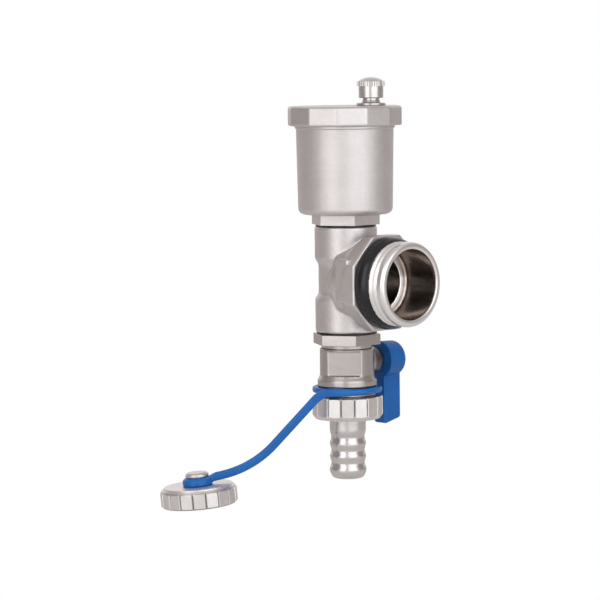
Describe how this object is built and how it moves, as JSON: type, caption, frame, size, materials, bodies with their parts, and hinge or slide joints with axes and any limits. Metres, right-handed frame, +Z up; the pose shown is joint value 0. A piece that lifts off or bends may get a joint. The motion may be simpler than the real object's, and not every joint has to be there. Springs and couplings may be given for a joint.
{
  "type": "drain valve assembly",
  "caption": "Manifold end set: tee with a threaded side branch, float air vent on top, and below it a drain ball valve with lever, hose tail and an end cap on a strap.",
  "frame": {"origin": "on the branch axis at the inner end of the branch thread, in front of its rubber ring", "axes": "+X out along the branch, +Z up along the run towards the air vent, +Y along the valve stem towards the lever"},
  "size_m": [0.084, 0.0935, 0.1687],
  "materials": {
    "nickel_cast": "satin nickel on cast brass",
    "nickel_turned": "bright nickel on turned brass",
    "brass_inner": "bare turned brass",
    "blue_plastic": "moulded blue plastic",
    "black_rubber": "black rubber",
    "white_seat": "white low-friction plastic",
    "float_plastic": "pale moulded plastic",
    "screw_steel": "plain steel"
  },
  "bodies": {
    "fitting": {"tee": "nickel_cast", "branch_seal": "black_rubber", "vent_body": "nickel_cast", "vent_base_seal": "black_rubber", "vent_cover": "nickel_cast", "cover_seal": "black_rubber", "vent_nozzle": "nickel_turned", "arm_pin": "screw_steel", "valve_seal": "black_rubber", "valve_inlet": "nickel_cast", "valve_body": "nickel_cast", "seat_upper": "white_seat", "seat_lower": "white_seat"},
    "lever_set": {"lever": "blue_plastic", "lever_screw": "screw_steel", "stem": "brass_inner", "stem_seal_inner": "black_rubber", "stem_seal_outer": "black_rubber", "stem_washer": "white_seat", "ball": "brass_inner"},
    "hose_tail_set": {"hose_tail": "nickel_turned", "tail_washer": "black_rubber"},
    "nut": {"union_nut": "nickel_turned"},
    "vent_disc": {"vent_cap_seal": "black_rubber"},
    "vent_screw_cap": {"vent_cap": "nickel_turned"},
    "float_set": {"float": "float_plastic"},
    "arm_set": {"float_arm": "brass_inner", "arm_pad": "black_rubber"},
    "strap": {"cap_strap": "blue_plastic"},
    "cap_set": {"end_cap": "nickel_turned", "cap_washer": "black_rubber", "cap_rivet": "nickel_turned"}
  },
  "joints": [
    {"name": "lever_turn", "type": "hinge", "parent": "fitting", "child": "lever_set", "pos_m": [-0.0285, 0, -0.0332], "axis": [0, 1, 0], "range_deg": [0, 90]},
    {"name": "tail_drop", "type": "slide", "parent": "fitting", "child": "hose_tail_set", "axis": [0, 0, -1], "range_m": [0, 0.00435]},
    {"name": "nut_turn", "type": "hinge", "parent": "hose_tail_set", "child": "nut", "pos_m": [-0.0285, 0, -0.05], "axis": [0, 0, -1], "range_deg": [0, 864]},
    {"name": "vent_cap_rise", "type": "slide", "parent": "fitting", "child": "vent_disc", "axis": [0, 0, 1], "range_m": [0, 0.0015]},
    {"name": "vent_cap_turn", "type": "hinge", "parent": "vent_disc", "child": "vent_screw_cap", "pos_m": [-0.02108, 0.00742, 0.076], "axis": [0, 0, 1], "range_deg": [0, 720]},
    {"name": "float_rise", "type": "slide", "parent": "fitting", "child": "float_set", "axis": [0, 0, 1], "range_m": [0, 0.00349]},
    {"name": "float_arm_swing", "type": "hinge", "parent": "fitting", "child": "arm_set", "pos_m": [-0.01895, 0.00955, 0.0606], "axis": [-0.7071, 0.7071, 0], "range_deg": [0, 15]},
    {"name": "strap_swivel", "type": "hinge", "parent": "fitting", "child": "strap", "pos_m": [-0.0285, 0, -0.0434], "axis": [0, 0, 1], "range_deg": [-120, 120]},
    {"name": "end_cap_turn", "type": "hinge", "parent": "strap", "child": "cap_set", "pos_m": [-0.06138, -0.05112, -0.0796], "axis": [-0.0567, -0.0567, 0.9968], "continuous": true}
  ],
  "couplings": [
    {"joint": "nut_turn", "follows": "tail_drop", "rad_per_m": 3463.7},
    {"joint": "vent_cap_turn", "follows": "vent_cap_rise", "rad_per_m": 8377.6},
    {"joint": "float_arm_swing", "follows": "float_rise", "rad_per_m": 74.92}
  ]
}
